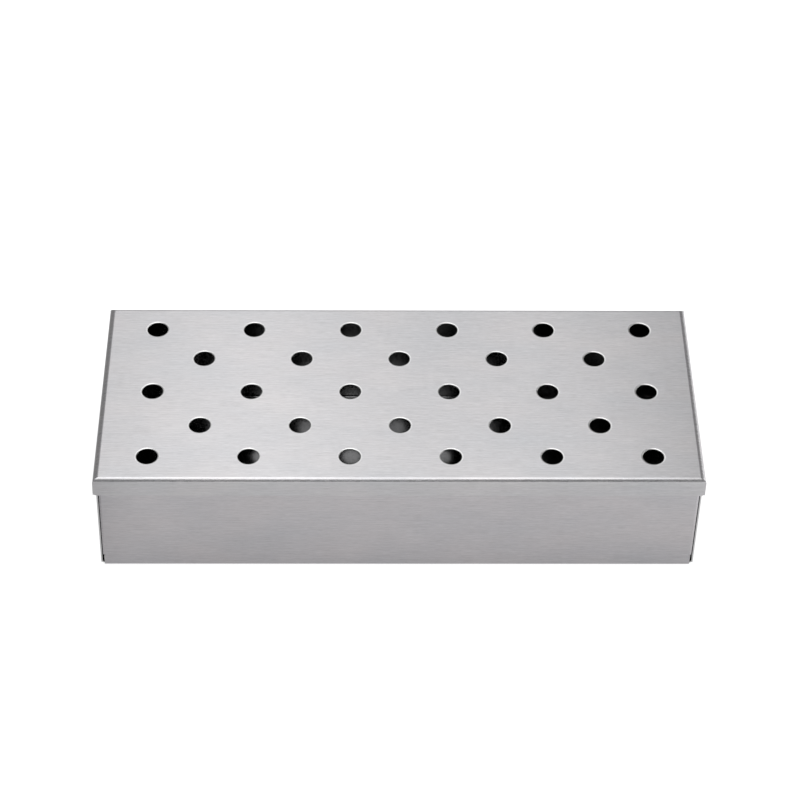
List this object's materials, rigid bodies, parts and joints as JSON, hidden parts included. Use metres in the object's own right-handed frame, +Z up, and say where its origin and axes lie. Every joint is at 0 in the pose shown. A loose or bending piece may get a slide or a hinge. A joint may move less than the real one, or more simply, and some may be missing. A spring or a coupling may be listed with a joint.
{
  "type": "grill smoker box",
  "caption": "Rectangular folded-steel smoker box for wood chips: an open tray under a perforated lift-off lid with a short skirt.",
  "frame": {"origin": "middle of the tray's underside, on the surface that the box stands on", "axes": "+X along the long side, -Y out of the front, +Z up, the way the lid lifts off"},
  "size_m": [0.24, 0.1, 0.05],
  "materials": {
    "tray_steel": "fine brushed grain along the length",
    "lid_steel": "fine brushed grain along the length"
  },
  "bodies": {
    "tray": {"tray": "tray_steel"},
    "lid": {"lid": "lid_steel"}
  },
  "joints": [
    {"name": "lid_lift", "type": "slide", "parent": "tray", "child": "lid", "axis": [0, 0, 1], "range_m": [0, 0.08]}
  ]
}
